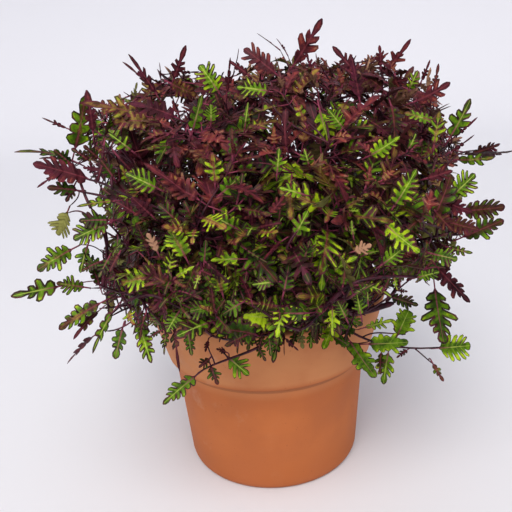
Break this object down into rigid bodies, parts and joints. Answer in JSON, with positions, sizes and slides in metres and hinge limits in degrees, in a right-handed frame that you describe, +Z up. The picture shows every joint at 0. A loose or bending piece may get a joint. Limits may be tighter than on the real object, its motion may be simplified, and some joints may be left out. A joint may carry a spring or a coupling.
{
  "type": "potted coleus",
  "caption": "Cut-leaf coleus: a dense dome of lobed green and maroon leaves on purple stems, growing in a tapered terracotta pot with a flared band at its rim.",
  "frame": {"origin": "centre of the pot's flat base, where the pot stands", "axes": "+Z up along the pot's axis, +X to the right across the widest spread of the crown, -Y towards the front, where one sprig hangs over the rim to the left"},
  "size_m": [0.4103, 0.3541, 0.3629],
  "materials": {
    "terracotta": "unglazed fired clay, matt, with a faint pale bloom",
    "potting_mix": "moist peaty potting mix with fine bark and grit",
    "stem": "purple square stems, satin",
    "leaf": "soft matt leaves, lime to mid green with a thin dark maroon margin, maroon when young"
  },
  "bodies": {
    "root": {"pot": "terracotta", "potting_mix": "potting_mix", "main_stem_01": "stem", "main_stem_02": "stem", "main_stem_03": "stem", "main_stem_04": "stem", "main_stem_05": "stem", "main_stem_06": "stem", "main_stem_07": "stem", "main_stem_08": "stem", "main_stem_09": "stem", "main_stem_10": "stem", "main_stem_11": "stem", "main_stem_12": "stem", "side_shoot_01": "leaf", "side_shoot_02": "leaf", "side_shoot_03": "leaf", "side_shoot_04": "leaf", "side_shoot_05": "leaf", "side_shoot_06": "leaf", "side_shoot_07": "leaf", "side_shoot_08": "leaf", "side_shoot_09": "leaf", "side_shoot_10": "leaf", "side_shoot_11": "leaf", "side_shoot_12": "leaf", "side_shoot_13": "leaf", "side_shoot_14": "leaf", "side_shoot_15": "leaf", "side_shoot_16": "leaf", "side_shoot_17": "leaf", "side_shoot_18": "leaf", "side_shoot_19": "leaf", "side_shoot_20": "leaf", "side_shoot_21": "leaf", "side_shoot_22": "leaf", "side_shoot_23": "leaf", "side_shoot_24": "leaf", "side_shoot_25": "leaf", "side_shoot_26": "leaf", "side_shoot_27": "leaf", "side_shoot_28": "leaf", "side_shoot_29": "leaf", "side_shoot_30": "leaf", "side_shoot_31": "leaf", "side_shoot_32": "leaf", "side_shoot_33": "leaf", "side_shoot_34": "leaf", "side_shoot_35": "leaf", "side_shoot_36": "leaf", "side_shoot_37": "leaf", "side_shoot_38": "leaf", "side_shoot_39": "leaf"}
  },
  "joints": []
}
